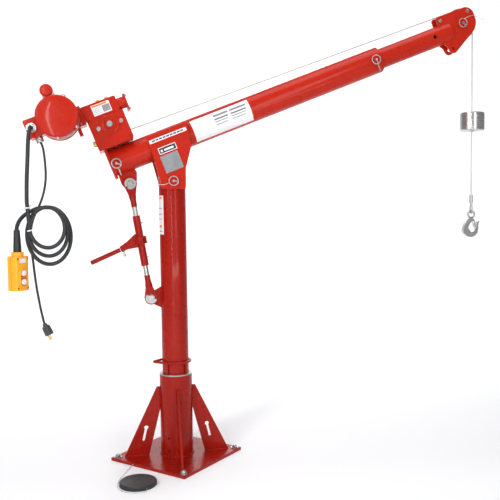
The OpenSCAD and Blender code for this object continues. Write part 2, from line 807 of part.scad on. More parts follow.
// Handset case with a neck for the boot and a raised rim around the two buttons
module pendant_shell() {
    color("orange") at_pendant() difference() {
        union() {
            linear_extrude(pendant_h) polygon(rounded_rect(pendant_w, pendant_d, 8));
            translate([0, 0, pendant_h - 1]) cylinder(r = 22, h = neck_top - pendant_h + 1, $fn = 64);
            translate([0, -pendant_d / 2, 0]) plate_y(-6, 2) union() {
                translate([0, button_low]) circle(r = 18, $fn = 48);
                translate([0, button_high]) circle(r = 18, $fn = 48);
                translate([-18, button_low]) square([36, button_high - button_low]);
            }
        }
        translate([0, 0, 5]) linear_extrude(pendant_h - 10) polygon(rounded_rect(pendant_w - 9, pendant_d - 9, 5));
        translate([0, -pendant_d / 2, 0]) {
            plate_y(-7, 0) union() {
                translate([0, button_low]) circle(r = 14, $fn = 48);
                translate([0, button_high]) circle(r = 14, $fn = 48);
                translate([-14, button_low]) square([28, button_high - button_low]);
            }
            translate([0, 0, button_low]) rod_y(button_r + 0.1, -8, 8);
            translate([0, 0, button_high]) rod_y(button_r + 0.1, -8, 8);
        }
    }
}

module push_button(z) {
    color("white") at_pendant() translate([0, -pendant_d / 2, z]) {
        rod_y(button_r, -7, 6);
        rod_y(button_r - 2, -8, -6);
    }
}

module button_up() { push_button(button_high); }

module button_down() { push_button(button_low); }

module power_cord() {
    color([0.1, 0.1, 0.1]) cord_tube(power_route, 4.5, 10, [0, 1, 0]);
}

module power_plug() {
    color([0.15, 0.15, 0.15]) translate(power_route[len(power_route) - 1]) rotate([0, 157, 0]) {
        translate([0, 0, 0.1]) cylinder(r1 = 7, r2 = 11, h = 12, $fn = 48);
        translate([0, 0, 12]) cylinder(r1 = 15, r2 = 17, h = 36, $fn = 48);
        for (y = [-6, 6]) translate([-3, y - 0.75, 47]) cube([6.3, 1.5, 21]);
        translate([7, 0, 47]) cylinder(r = 2.4, h = 22, $fn = 24);
    }
}

// ---------- drawing ----------

base_plate();
socket_tube();
base_gussets();
socket_bearings();
socket_cap();
cap_tether();
mast_tube();
mast_lug();
turning_handle();
jack_lower_fork();
jack_lower_pin();
jack_barrel();
jack_upper_fork();
jack_upper_pin();
ratchet_body();
ratchet_handle();
ratchet_pawl();
boom_tube();
boom_bushing();
side_plates();
tail_lug();
pivot_pin();
boom_lanyards();
inner_tube();
head_plates();
sheave();
sheave_pin();
head_lanyard();
extension_pin();
winch_pin();
winch_mount();
bearing_plate();
gearbox_housing();
gearbox_cover();
worm_housing();
worm_end_cap();
worm_shaft();
worm_wheel();
drum();
rope_on_drum();
gearhead();
motor_housing();
motor_cover();
motor_rotor();
capacitor_case();
junction_box();
cable_glands();
rope_run();
rope_fall();
tension_weight();
rope_thimble();
hook();
hook_latch();
pendant_cable();
pendant_boot();
pendant_shell();
button_up();
button_down();
power_cord();
power_plug();
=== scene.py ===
import bmesh
import bpy
import json
import math
from mathutils import Matrix, Vector, noise


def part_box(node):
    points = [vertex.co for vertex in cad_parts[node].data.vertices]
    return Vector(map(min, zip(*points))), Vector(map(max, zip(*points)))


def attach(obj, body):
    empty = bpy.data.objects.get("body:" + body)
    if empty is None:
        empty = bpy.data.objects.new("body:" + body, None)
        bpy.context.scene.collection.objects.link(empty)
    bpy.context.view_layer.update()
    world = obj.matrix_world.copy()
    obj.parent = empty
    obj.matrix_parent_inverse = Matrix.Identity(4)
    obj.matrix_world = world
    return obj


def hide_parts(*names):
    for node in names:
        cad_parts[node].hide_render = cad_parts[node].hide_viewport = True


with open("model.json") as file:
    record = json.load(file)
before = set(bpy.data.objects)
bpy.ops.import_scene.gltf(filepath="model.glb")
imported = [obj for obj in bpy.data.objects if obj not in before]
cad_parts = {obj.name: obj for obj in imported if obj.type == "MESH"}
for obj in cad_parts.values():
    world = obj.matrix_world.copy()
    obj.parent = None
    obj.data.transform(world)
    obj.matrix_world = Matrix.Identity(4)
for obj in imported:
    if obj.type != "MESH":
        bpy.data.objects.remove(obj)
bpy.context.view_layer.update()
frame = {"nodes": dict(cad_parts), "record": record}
NODES = frame["nodes"]
BODY_OF = {n: b for b, members in frame["record"]["behaviour"]["bodies"].items() for n in members}
SLOT_OF = {s["node"]: s["material_slot"] for s in frame["record"]["subparts"]}

# ---------- places shared with the CAD, in metres ----------

BOOM_Z = 1.3639
BOOM_ANGLE = math.radians(21.36)
JACK_FOOT = Vector((-0.099, 0, 0.6952))
JACK_TILT = math.radians(9.04)
JACK_LENGTH = 0.4922
SOCKET_R = 0.06985
MAST_R = 0.05715
BOOM_R = 0.05715
PLATE_T = 0.0127
ANCHOR_R = 0.254
CABLE_D = 0.015
CORD_D = 0.009
WIRE_D = 0.0024
TETHER_D = 0.0025
ROPE_R = 0.0032
MOTOR_U, MOTOR_V, MOTOR_R = -0.397, 0.222, 0.079
DRUM_U, DRUM_V = -0.218, 0.145
SHEAVE_U, SHEAVE_V = 1.432, 0.0145
HOOK_X = 1.394
HANDSET = Vector((-0.604, -0.289, 0.778))
HANDSET_YAW = math.radians(48)

BOOM = Matrix.Translation((0, 0, BOOM_Z)) @ Matrix.Rotation(-BOOM_ANGLE, 4, "Y")
JACK = Matrix.Translation(JACK_FOOT) @ Matrix.Rotation(-JACK_TILT, 4, "Y")
HAND = Matrix.Translation(HANDSET) @ Matrix.Rotation(HANDSET_YAW, 4, "Z")
WORLD = Matrix.Identity(4)

# Flat fronts that carry labels and bolts, as distances from the boom's middle plane; the front is negative
SIDE_PLATE_FRONT = -0.0665
LOCK_PIN_FRONT = -0.0705
GEARBOX_FRONT = -0.090
WORM_HOUSING_FRONT = -0.092
GEARHEAD_FRONT = -0.118
HEAD_PLATE_FRONT = -0.0255


def moved(x, y, z):
    return Matrix.Translation((x, y, z))


def turned(degrees, axis):
    return Matrix.Rotation(math.radians(degrees), 4, axis)


def polar(radius, degrees, height=0.0):
    """A point at an angle about the Z axis."""
    a = math.radians(degrees)
    return Vector((radius * math.cos(a), radius * math.sin(a), height))


# ---------- camera, light and floor ----------

def add_camera():
    """A view from the front, tilted slightly down and turned a little towards the boom's head."""
    eye = (-0.2776, -2.9855, 1.0752)
    yaw, pitch, roll = math.radians(11.61), math.radians(3.5), math.radians(0.74)
    look = Vector((math.sin(yaw) * math.cos(pitch), math.cos(yaw) * math.cos(pitch), -math.sin(pitch)))
    right = look.cross(Vector((0, 0, 1))).normalized()
    up = right.cross(look)
    tilted = right * math.cos(roll) - up * math.sin(roll)
    up = tilted.cross(look)
    data = bpy.data.cameras.new("camera")
    data.lens = 50.1
    data.sensor_width = 36
    camera = bpy.data.objects.new("camera", data)
    camera.matrix_world = moved(*eye) @ Matrix((tilted, up, -look)).transposed().to_4x4()
    bpy.context.scene.collection.objects.link(camera)
    bpy.context.scene.camera = camera


def area_light(name, place, target, size, watts):
    """A rectangular lamp at place that faces target."""
    data = bpy.data.lights.new(name, "AREA")
    data.shape = "RECTANGLE"
    data.size, data.size_y = size
    data.energy = watts
    light = bpy.data.objects.new(name, data)
    light.location = place
    light.rotation_euler = (Vector(target) - Vector(place)).to_track_quat("-Z", "Y").to_euler()
    bpy.context.scene.collection.objects.link(light)


def add_studio():
    """Soft daylight, seven lamps, and a paper floor that curves up behind the crane."""
    scene = bpy.context.scene
    scene.view_settings.view_transform = "Standard"
    world = bpy.data.worlds.new("studio")
    world.use_nodes = True
    background = world.node_tree.nodes["Background"]
    background.inputs["Color"].default_value = (0.96, 0.97, 1.0, 1)
    background.inputs["Strength"].default_value = 0.33
    scene.world = world
    centre = (0.2, 0, 0.9)
    area_light("key", (-2.4, -2.8, 2.6), centre, (0.7, 3.0), 74)
    area_light("fill", (1.6, -4.2, 2.0), centre, (1.0, 2.6), 34)
    area_light("top", (0.2, -0.3, 4.2), centre, (3.5, 2.0), 52)
    area_light("rim", (1.6, 3.2, 2.6), centre, (2.0, 1.6), 40)
    area_light("backdrop", (1.6, 2.2, 4.6), (1.8, 6.0, 2.6), (7.0, 1.2), 230)
    area_light("tall_strip", (-1.0, -3.5, 1.3), (0, 0, 0.9), (0.12, 2.6), 20)
    area_light("low_strip", (0.9, -3.4, 0.5), (0.7, 0, 1.6), (3.6, 0.12), 14)
    reach, back, top, curve = 9.0, 6.0, 6.0, 3.6
    bm = bmesh.new()
    outline = [(-reach, 0), (back - curve, 0)]
    outline += [(back - curve + curve * math.sin(t), curve - curve * math.cos(t))
                for t in [math.radians(a) for a in range(10, 91, 10)]]
    outline += [(back, top)]
    rows = [[bm.verts.new((x, y, z)) for x in (-reach, reach)] for y, z in outline]
    for near, far in zip(rows, rows[1:]):
        bm.faces.new((near[0], near[1], far[1], far[0]))
    mesh = bpy.data.meshes.new("floor")
    bm.to_mesh(mesh)
    bm.free()
    for polygon in mesh.polygons:
        polygon.use_smooth = True
    floor = bpy.data.objects.new("floor", mesh)
    mesh.materials.append(stage_paper())
    bpy.context.scene.collection.objects.link(floor)


# ---------- materials ----------

def new_material(name, **sockets):
    material = bpy.data.materials.new(name)
    material.use_nodes = True
    shader = material.node_tree.nodes["Principled BSDF"]
    for socket, value in sockets.items():
        shader.inputs[socket.replace("_", " ")].default_value = value
    return material, shader


def add_node(material, kind, links=(), **settings):
    node = material.node_tree.nodes.new(kind)
    for key, value in settings.items():
        if key in node.inputs:
            node.inputs[key].default_value = value
        else:
            setattr(node, key, value)
    for source, socket in links:
        material.node_tree.links.new(source, node.inputs[socket])
    return node


def link(material, source, target):
    material.node_tree.links.new(source, target)


def mapped_noise(material, scale, detail, stretch=(1, 1, 1)):
    """Noise over the object's own coordinates, in metres."""
    place = add_node(material, "ShaderNodeTexCoord")
    mapping = add_node(material, "ShaderNodeMapping", [(place.outputs["Object"], "Vector")], Scale=stretch)
    return add_node(material, "ShaderNodeTexNoise", [(mapping.outputs["Vector"], "Vector")],
                    Scale=scale, Detail=detail)


def ramp(material, source, stops):
    """Colours by value, from (value, colour) stops."""
    node = add_node(material, "ShaderNodeValToRGB", [(source, "Fac")])
    elements = node.color_ramp.elements
    while len(elements) < len(stops):
        elements.new(0.5)
    for element, (place, colour) in zip(elements, stops):
        element.position = place
        element.color = (*colour, 1)
    return node


def mix(material, factor, first, second):
    """Blends two colours, each a fixed colour or a socket, by a factor."""
    node = add_node(material, "ShaderNodeMix", data_type="RGBA")
    link(material, factor, node.inputs["Factor"])
    for value, socket in ((first, node.inputs[6]), (second, node.inputs[7])):
        if isinstance(value, tuple):
            socket.default_value = (*value, 1)
        else:
            link(material, value, socket)
    return node.outputs[2]


def to_range(material, source, low, high):
    """Spreads 0 to 1 over low to high."""
    node = add_node(material, "ShaderNodeMapRange", [(source, "Value")])
    node.inputs["To Min"].default_value = low
    node.inputs["To Max"].default_value = high
    return node.outputs["Result"]


def bump(material, shader, source, distance):
    """Relief of a height in metres on the shader's surface."""
    node = add_node(material, "ShaderNodeBump", [(source, "Height")], Strength=1.0, Distance=distance)
    link(material, node.outputs["Normal"], shader.inputs["Normal"])


def worn_edges(material, radius):
    """1 along sharp edges, broken up by noise, 0 on flat faces."""
    bevel = add_node(material, "ShaderNodeBevel", samples=4, Radius=radius)
    geometry = add_node(material, "ShaderNodeNewGeometry")
    dot = add_node(material, "ShaderNodeVectorMath", operation="DOT_PRODUCT")
    link(material, bevel.outputs["Normal"], dot.inputs[0])
    link(material, geometry.outputs["Normal"], dot.inputs[1])
    edge = add_node(material, "ShaderNodeMapRange", [(dot.outputs["Value"], "Value")])
    edge.inputs["From Min"].default_value = 0.96
    edge.inputs["From Max"].default_value = 0.85
    patches = mapped_noise(material, 55, 3)
    broken = ramp(material, patches.outputs["Fac"], [(0.5, (0, 0, 0)), (0.62, (1, 1, 1))])
    both = add_node(material, "ShaderNodeMath", operation="MULTIPLY")
    link(material, edge.outputs["Result"], both.inputs[0])
    link(material, broken.outputs["Color"], both.inputs[1])
    return both.outputs["Value"]


def gloss_paint(name, light, dark, worn):
    """Sprayed gloss paint: slow colour drift, orange peel, and edges rubbed through to primer."""
    material, shader = new_material(
        name, Metallic=0.0, Specular_IOR_Level=0.14, Coat_Weight=0.15, Coat_Roughness=0.05)
    drift = mapped_noise(material, 4.5, 4)
    colour = mix(material, drift.outputs["Fac"], dark, light)
    wear = worn_edges(material, 0.0016)
    link(material, mix(material, wear, colour, worn), shader.inputs["Base Color"])
    smudge = mapped_noise(material, 22, 5)
    link(material, to_range(material, smudge.outputs["Fac"], 0.20, 0.36), shader.inputs["Roughness"])
    peel = mapped_noise(material, 420, 2)
    bump(material, shader, peel.outputs["Fac"], 0.00005)
    return material


def metal(name, light, dark, rough, brushed=(1, 1, 1), scale=90, depth=0.00006):
    """Bare or plated metal with a fine grain drawn out along one direction."""
    material, shader = new_material(name, Metallic=1.0)
    tone = mapped_noise(material, 14, 5)
    link(material, mix(material, tone.outputs["Fac"], dark, light), shader.inputs["Base Color"])
    grain = mapped_noise(material, scale, 4, brushed)
    link(material, to_range(material, grain.outputs["Fac"], rough[0], rough[1]), shader.inputs["Roughness"])
    bump(material, shader, grain.outputs["Fac"], depth)
    return material


def plastic(name, light, dark, rough, grain=900):
    """Moulded plastic or rubber with a fine spark-eroded texture and slight blotching."""
    material, shader = new_material(name, Metallic=0.0)
    tone = mapped_noise(material, 30, 4)
    link(material, mix(material, tone.outputs["Fac"], dark, light), shader.inputs["Base Color"])
    spots = mapped_noise(material, 60, 3)
    link(material, to_range(material, spots.outputs["Fac"], rough[0], rough[1]), shader.inputs["Roughness"])
    texture = mapped_noise(material, grain, 2)
    bump(material, shader, texture.outputs["Fac"], 0.00005)
    return material


def stage_paper():
    """The floor's matt white paper, slightly cloudy."""
    material, shader = new_material("floor_paper", Roughness=0.85)
    tone = mapped_noise(material, 1.3, 3)
    link(material, mix(material, tone.outputs["Fac"], (0.93, 0.93, 0.94), (0.96, 0.96, 0.97)),
         shader.inputs["Base Color"])
    return material


MATERIAL = {
    "base_paint": gloss_paint("base_paint", (0.38, 0.010, 0.003), (0.26, 0.006, 0.002),
                              (0.15, 0.028, 0.02)),
    "boom_paint": gloss_paint("boom_paint", (0.54, 0.021, 0.006), (0.41, 0.013, 0.004),
                              (0.30, 0.05, 0.035)),
    "zinc_steel": metal("zinc_steel", (0.58, 0.58, 0.57), (0.36, 0.36, 0.36), (0.2, 0.4), scale=160),
    "bearing_steel": metal("bearing_steel", (0.50, 0.50, 0.50), (0.34, 0.34, 0.34), (0.25, 0.5)),
    "wire_rope": metal("wire_rope", (0.82, 0.82, 0.78), (0.52, 0.52, 0.49), (0.35, 0.6), scale=700),
    "polished_steel": metal("polished_steel", (0.62, 0.62, 0.61), (0.46, 0.46, 0.45), (0.20, 0.34),
                            brushed=(1, 1, 30), scale=30, depth=0.00002),
    "bronze": metal("bronze", (0.65, 0.42, 0.18), (0.48, 0.29, 0.12), (0.25, 0.5)),
    "black_rubber": plastic("black_rubber", (0.020, 0.022, 0.024), (0.010, 0.011, 0.012), (0.38, 0.6)),
    "plug_plastic": plastic("plug_plastic", (0.055, 0.06, 0.065), (0.035, 0.038, 0.042), (0.4, 0.6)),
    "handset_plastic": plastic("handset_plastic", (0.97, 0.46, 0.018), (0.90, 0.36, 0.012), (0.3, 0.48)),
    "button_plastic": plastic("button_plastic", (0.86, 0.89, 0.95), (0.78, 0.82, 0.90), (0.2, 0.35)),
}
EXTRA = {
    "label_white": plastic("label_white", (0.86, 0.86, 0.87), (0.78, 0.78, 0.80), (0.3, 0.5), grain=200),
    "label_grey": metal("label_grey", (0.44, 0.45, 0.46), (0.16, 0.17, 0.18), (0.25, 0.5), scale=240),
    "label_black": plastic("label_black", (0.03, 0.03, 0.035), (0.02, 0.02, 0.022), (0.3, 0.5), grain=200),
    "label_orange": plastic("label_orange", (0.85, 0.28, 0.03), (0.75, 0.2, 0.02), (0.3, 0.5), grain=200),
    "cable_tie": plastic("cable_tie", (0.82, 0.83, 0.85), (0.7, 0.72, 0.75), (0.35, 0.55)),
    # Near black: painted shade deep in the socket's tapped holes, where the set screws sit.
    "painted_hole_shade": plastic("painted_hole_shade", (0.012, 0.008, 0.008), (0.006, 0.005, 0.005), (0.6, 0.8)),
    "yellow_zinc": metal("yellow_zinc", (0.78, 0.60, 0.26), (0.55, 0.42, 0.20), (0.25, 0.45), scale=160),
    "plug_brass": metal("plug_brass", (0.80, 0.62, 0.28), (0.62, 0.46, 0.2), (0.2, 0.35), scale=120),
    # Darker orange: the handset's seam line, and painted shade in the recess round the buttons.
    "handset_seam_and_recess_shade": plastic("handset_seam_and_recess_shade", (0.72, 0.17, 0.01), (0.60, 0.12, 0.008), (0.35, 0.5)),
    "handset_screw": plastic("handset_screw", (0.30, 0.04, 0.02), (0.2, 0.03, 0.015), (0.4, 0.6)),
}


# ---------- mesh helpers ----------

def smooth(mesh, angle=32):
    """Smooth shading, with edges sharper than angle degrees left crisp."""
    for polygon in mesh.polygons:
        polygon.use_smooth = True
    mesh.set_sharp_from_angle(angle=math.radians(angle))


def piece_from(bm, name, body, slot, look=None, matrix=WORLD, bevel=0.0, angle=32):
    """Turns a bmesh into a piece that rides on a body, with its edges rounded by bevel."""
    mesh = bpy.data.meshes.new(name)
    bmesh.ops.recalc_face_normals(bm, faces=bm.faces)
    bm.to_mesh(mesh)
    bm.free()
    piece = bpy.data.objects.new(name, mesh)
    bpy.context.scene.collection.objects.link(piece)
    piece.matrix_world = matrix
    mesh.materials.append(look or MATERIAL[slot])
    if bevel:
        modifier = piece.modifiers.new("rounded", "BEVEL")
        modifier.width = bevel
        modifier.segments = 2
        modifier.limit_method = "ANGLE"
        modifier.angle_limit = math.radians(35)
        modifier.use_clamp_overlap = True
        modifier.harden_normals = True
    smooth(mesh, angle)
    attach(piece, body)
    return piece


def rounded_node(node, width):
    """The CAD node's own shape with its sharp edges rounded, standing in for the node."""
    bm = bmesh.new()
    bm.from_mesh(NODES[node].data)
    bmesh.ops.remove_doubles(bm, verts=bm.verts, dist=1e-6)
    bmesh.ops.dissolve_limit(bm, angle_limit=math.radians(1.0), verts=bm.verts, edges=bm.edges)
    piece = piece_from(bm, node + "_finished", BODY_OF[node], SLOT_OF[node], bevel=width)
    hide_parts(node)
    return piece


def full_turn(steps):
    """Evenly spaced angles once round."""
    return [2 * math.pi * k / steps for k in range(steps)]


def circle(x, y, radius, steps=20):
    """A round outline."""
    return [(x + radius * math.cos(a), y + radius * math.sin(a)) for a in full_turn(steps)]


def lathe(bm, profile, matrix=WORLD, steps=32):
    """Turns (radius, height) points about the local Z axis; the ends close on the axis."""
    rings = []
    for radius, height in profile:
        if radius < 1e-7:
            rings.append([bm.verts.new(matrix @ Vector((0, 0, height)))])
        else:
            rings.append([bm.verts.new(matrix @ Vector((radius * math.cos(a), radius * math.sin(a), height)))
                          for a in full_turn(steps)])
    for low, high in zip(rings, rings[1:]):
        for k in range(steps):
            n = (k + 1) % steps
            corners = [low[k % len(low)], low[n % len(low)], high[n % len(high)], high[k % len(high)]]
            unique = [c for i, c in enumerate(corners) if c not in corners[:i]]
            if len(unique) > 2:
                bm.faces.new(unique)


def close_rings(bm, rings):
    """Skins a row of rings with as many corners each, and closes both ends."""
    for a, b in zip(rings, rings[1:]):
        for j in range(len(a)):
            n = (j + 1) % len(a)
            bm.faces.new((a[j], a[n], b[n], b[j]))
    bm.faces.new(rings[0][::-1])
    bm.faces.new(rings[-1])


def slab(bm, outline, low, high, matrix=WORLD):
    """Extrudes a flat outline of (x, y) points from z low to z high."""
    bottom = [bm.verts.new(matrix @ Vector((x, y, low))) for x, y in outline]
    top = [bm.verts.new(matrix @ Vector((x, y, high))) for x, y in outline]
    bm.faces.new(bottom[::-1])
    bm.faces.new(top)
    count = len(outline)
    for k in range(count):
        n = (k + 1) % count
        bm.faces.new((bottom[k], bottom[n], top[n], top[k]))


def rectangle(x0, x1, y0, y1, radius=0.0, steps=4):
    """A rectangle's outline, its corners rounded by radius."""
    if not radius:
        return [(x0, y0), (x1, y0), (x1, y1), (x0, y1)]
    corners = [(x1 - radius, y0 + radius, -90), (x1 - radius, y1 - radius, 0),
               (x0 + radius, y1 - radius, 90), (x0 + radius, y0 + radius, 180)]
    return [(cx + radius * math.cos(math.radians(start + 90 * k / steps)),
             cy + radius * math.sin(math.radians(start + 90 * k / steps)))
            for cx, cy, start in corners for k in range(steps + 1)]


def facing(place, direction):
    """A frame at place whose Z axis points along direction."""
    return Matrix.Translation(place) @ Vector(direction).to_track_quat("Z", "Y").to_matrix().to_4x4()


def front(u, y, v):
    """On the boom's front: X along the boom, Y up from it, Z towards the viewer."""
    return BOOM @ moved(u, y, v) @ turned(90, "X")


def line_curve(name, points, radius, body, slot, order):
    """A round wire or cord along one smooth open line through the points."""
    data = bpy.data.curves.new(name, "CURVE")
    data.dimensions = "3D"
    data.bevel_depth = radius
    data.bevel_resolution = 3
    data.use_fill_caps = True
    spline = data.splines.new("POLY")
    path = smooth_path(points, order)
    spline.points.add(len(path) - 1)
    for point, place in zip(spline.points, path):
        point.co = (*place, 1)
    curve = bpy.data.objects.new(name, data)
    data.materials.append(MATERIAL[slot])
    bpy.context.scene.collection.objects.link(curve)
    spline.use_smooth = True
    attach(curve, body)
    return curve, path


def smooth_path(points, steps):
    """Catmull-Rom points through the given ones, steps to each stretch."""
    p = [Vector(q) for q in points]
    p = [2 * p[0] - p[1]] + p + [2 * p[-1] - p[-2]]
    path = []
    for a, b, c, d in zip(p, p[1:], p[2:], p[3:]):
        for k in range(steps):
            t = k / steps
            path.append(0.5 * (2 * b + (c - a) * t + (2 * a - 5 * b + 4 * c - d) * t ** 2
                               + (3 * b - a - 3 * c + d) * t ** 3))
    path.append(p[-2])
    return path


# ---------- cords ----------

CABLE_DOWN = [
    (-0.547, -0.251, 1.384), (-0.547, -0.261, 1.3835), (-0.547, -0.283, 1.379), (-0.548, -0.303, 1.366),
    (-0.549, -0.317, 1.346), (-0.551, -0.323, 1.318), (-0.553, -0.324, 1.280), (-0.556, -0.324, 1.235),
    (-0.559, -0.323, 1.190), (-0.561, -0.321, 1.145), (-0.562, -0.318, 1.105), (-0.560, -0.313, 1.070)]
CABLE_UP = [
    (-0.533, -0.2605, 1.081), (-0.558, -0.261, 1.070), (-0.579, -0.264, 1.056), (-0.594, -0.271, 1.039),
    (-0.601, -0.280, 1.023), (-0.6035, -0.286, 1.013), (-0.604, -0.289, 1.003)]
COIL_POINTS, COIL_STEPS = 40, 14
POWER_ROUTE = [
    (-0.518, -0.195, 1.337), (-0.511, -0.195, 1.319), (-0.506, -0.195, 1.290), (-0.503, -0.195, 1.250),
    (-0.502, -0.195, 1.210), (-0.505, -0.196, 1.175), (-0.511, -0.197, 1.145), (-0.519, -0.198, 1.118),
    (-0.531, -0.199, 1.088), (-0.545, -0.200, 1.060), (-0.556, -0.200, 1.031), (-0.562, -0.200, 1.000),
    (-0.564, -0.200, 0.960), (-0.562, -0.200, 0.915), (-0.558, -0.200, 0.877), (-0.553, -0.200, 0.820),
    (-0.547, -0.200, 0.768), (-0.541, -0.200, 0.728), (-0.535, -0.200, 0.690), (-0.527, -0.200, 0.650),
    (-0.524, -0.200, 0.636)]
TETHER_ROUTE = [
    (-0.1929, -0.090, 0.009), (-0.198, -0.0955, 0.008), (-0.206, -0.107, 0.004), (-0.215, -0.128, 0.002),
    (-0.228, -0.160, 0.0015), (-0.244, -0.200, 0.0015), (-0.256, -0.240, 0.0015), (-0.262, -0.280, 0.0015),
    (-0.258, -0.320, 0.0015), (-0.240, -0.352, 0.0015), (-0.212, -0.372, 0.0015), (-0.182, -0.379, 0.0015),
    (-0.160, -0.376, 0.0025), (-0.1518, -0.368, 0.0055), (-0.1532, -0.3576, 0.008)]
PIVOT_LEAD = [
    (-0.0225, -0.080, 1.1805), (-0.032, -0.082, 1.1755), (-0.048, -0.080, 1.174), (-0.066, -0.076, 1.176),
    (-0.084, -0.072, 1.186), (-0.096, -0.070, 1.204), (-0.100, -0.069, 1.226)]
JACK_LEAD = [
    (-0.158, -0.029, 1.186), (-0.144, -0.034, 1.196), (-0.128, -0.042, 1.206), (-0.112, -0.052, 1.214),
    (-0.102, -0.062, 1.222), (-0.097, -0.067, 1.232)]
HEAD_LEAD = [
    (1.331, -0.041, 1.916), (1.348, -0.042, 1.924), (1.366, -0.040, 1.931), (1.384, -0.034, 1.934),
    (1.402, -0.030, 1.930), (1.418, -0.029, 1.925), (1.434, -0.029, 1.919), (1.439, -0.029, 1.911),
    (1.430, -0.029, 1.904), (1.416, -0.029, 1.903)]


def coil_point(i):
    """A point of the handset cable's loose loops, which grow and move back turn by turn."""
    turn = i / COIL_STEPS
    angle = math.radians(150 + 360 * turn)
    top = 1.086
    middle = -0.497 + 0.002 * turn
    half_width = 0.060 + 0.008 * turn
    half_height = 0.070 + 0.016 * turn
    return (middle + half_width * math.cos(angle),
            -0.309 + 0.0165 * turn,
            top - half_height + half_height * math.sin(angle))


def add_cord(name, route, diameter, body, slot, nodes, order=3):
    """A cord along its route, standing in for the CAD nodes; order is the points to each stretch."""
    cord, path = line_curve(name, route, diameter / 2, body, slot, order)
    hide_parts(*nodes)


def add_cords():
    cable = CABLE_DOWN + [coil_point(i) for i in range(1, COIL_POINTS + 1)] + CABLE_UP
    add_cord("handset_cable", cable, CABLE_D, "pendant", "black_rubber",
             ["pendant_cable"], order=4)
    add_cord("mains_cord", POWER_ROUTE, CORD_D, "pendant", "black_rubber",
             ["power_cord"], order=4)
    add_cord("cap_tether_wire", TETHER_ROUTE, TETHER_D, "base", "wire_rope", ["cap_tether"])
    add_cord("pivot_lead", PIVOT_LEAD, WIRE_D, "boom", "wire_rope", ["boom_lanyards"])
    add_cord("jack_lead", JACK_LEAD, WIRE_D, "boom", "wire_rope", ["boom_lanyards"])
    add_cord("head_lead", HEAD_LEAD, WIRE_D, "inner_boom", "wire_rope", ["head_lanyard"])


# ---------- shared small parts ----------

def hex_bolt(bm, matrix, radius, height, washer=1.35):
    """Washer and chamfered six-sided head standing on the frame's XY plane."""
    rim, low = radius * washer, height * 0.22
    lathe(bm, [(0, 0), (rim, 0), (rim, low), (0, low)], matrix, 28)
    lathe(bm, [(0, low), (radius, low), (radius, height * 0.88), (radius * 0.86, height), (0, height)],
          matrix, 6)


def cap_screw(bm, matrix, radius, height):
    """Round head with a dished drive recess."""
    lathe(bm, [(0, 0), (radius, 0), (radius, height * 0.6), (radius * 0.8, height), (radius * 0.45, height),
               (radius * 0.35, height * 0.55), (0, height * 0.5)], matrix, 20)


def many(name, body, slot, places, build, look=None):
    """One piece made of the same small part at several places."""
    bm = bmesh.new()
    for place in places:
        build(bm, place)
    piece_from(bm, name, body, slot, look)


def bolts(name, body, places, radius, height, washer=1.35, look=None):
    """One piece made of equal zinc plated bolts."""
    many(name, body, "zinc_steel", places,
         lambda bm, place: hex_bolt(bm, place, radius, height, washer), look)


def screws(name, body, slot, places, radius, height, look=None):
    """One piece made of equal cap screws."""
    many(name, body, slot, places, lambda bm, place: cap_screw(bm, place, radius, height), look)


def sticker(name, body, slot, look, matrix, outline, thickness=0.0006, lift=0.0):
    """A flat label on the frame's XY plane, raised by lift."""
    bm = bmesh.new()
    slab(bm, outline, lift, lift + thickness)
    piece_from(bm, name, body, slot, EXTRA[look], matrix, bevel=0.0002)


def curved_patch(name, body, slot, look, matrix, radius, angles, span, thickness=0.0004):
    """A thin label wrapped round a tube whose axis is the frame's Z axis."""
    bm = bmesh.new()
    steps = max(4, int(abs(angles[1] - angles[0]) / 4))
    rows = []
    for k in range(steps + 1):
        a = math.radians(angles[0] + (angles[1] - angles[0]) * k / steps)
        rows.append([bm.verts.new((r * math.cos(a), r * math.sin(a), z))
                     for r in (radius, radius + thickness) for z in span])
    for a, b in zip(rows, rows[1:]):
        bm.faces.new((a[2], b[2], b[3], a[3]))
        bm.faces.new((a[0], a[1], b[1], b[0]))
        bm.faces.new((a[0], b[0], b[2], a[2]))
        bm.faces.new((a[1], a[3], b[3], b[1]))
    bm.faces.new((rows[0][0], rows[0][2], rows[0][3], rows[0][1]))
    bm.faces.new((rows[-1][0], rows[-1][1], rows[-1][3], rows[-1][2]))
    piece_from(bm, name, body, slot, EXTRA[look], matrix)


def weld_bead(bm, start, end, width, seed):
    """A row of overlapping ripples along a straight joint."""
    start, end = Vector(start), Vector(end)
    length = (end - start).length
    frame_here = facing(start, end - start)
    rows, spacing = [], 0.0018
    count = max(6, int(length / spacing))
    for k in range(count + 1):
        wave = 0.86 + 0.14 * math.sin(k * 1.9) + 0.10 * noise.noise(Vector((seed, k * 0.37, 0)))
        taper = min(1.0, 0.3 + 2.2 * min(k, count - k) / count * 4)
        r = width * wave * taper
        z = length * k / count
        rows.append([bm.verts.new(frame_here @ Vector((r * math.cos(a), r * math.sin(a), z)))
                     for a in full_turn(8)])
    close_rings(bm, rows)


def stranded(name, path, radius, body, nodes, pitch=0.034, lobes=6):
    """Laid wire rope: a lobed section that turns as it follows the path."""
    bm = bmesh.new()
    rows, travelled, corners = [], 0.0, lobes * 4
    for k, place in enumerate(path):
        here = path[min(k + 1, len(path) - 1)] - path[max(k - 1, 0)]
        side = here.cross(Vector((0, 1, 0))).normalized()
        other = here.cross(side).normalized()
        if k:
            travelled += (place - path[k - 1]).length
        turn = 2 * math.pi * travelled / pitch
        row = []
        for a in full_turn(corners):
            r = radius * (0.80 + 0.20 * abs(math.cos(lobes * (a - turn) / 2)))
            row.append(bm.verts.new(place + side * r * math.cos(a) + other * r * math.sin(a)))
        rows.append(row)
    close_rings(bm, rows)
    piece = piece_from(bm, name, body, "wire_rope", angle=60)
    if nodes:
        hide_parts(*nodes)


def even(points, step):
    """Points no further apart than step along straight stretches."""
    path = [Vector(points[0])]
    for a, b in zip(points, points[1:]):
        a, b = Vector(a), Vector(b)
        count = max(1, int((b - a).length / step))
        path += [a + (b - a) * k / count for k in range(1, count + 1)]
    return path


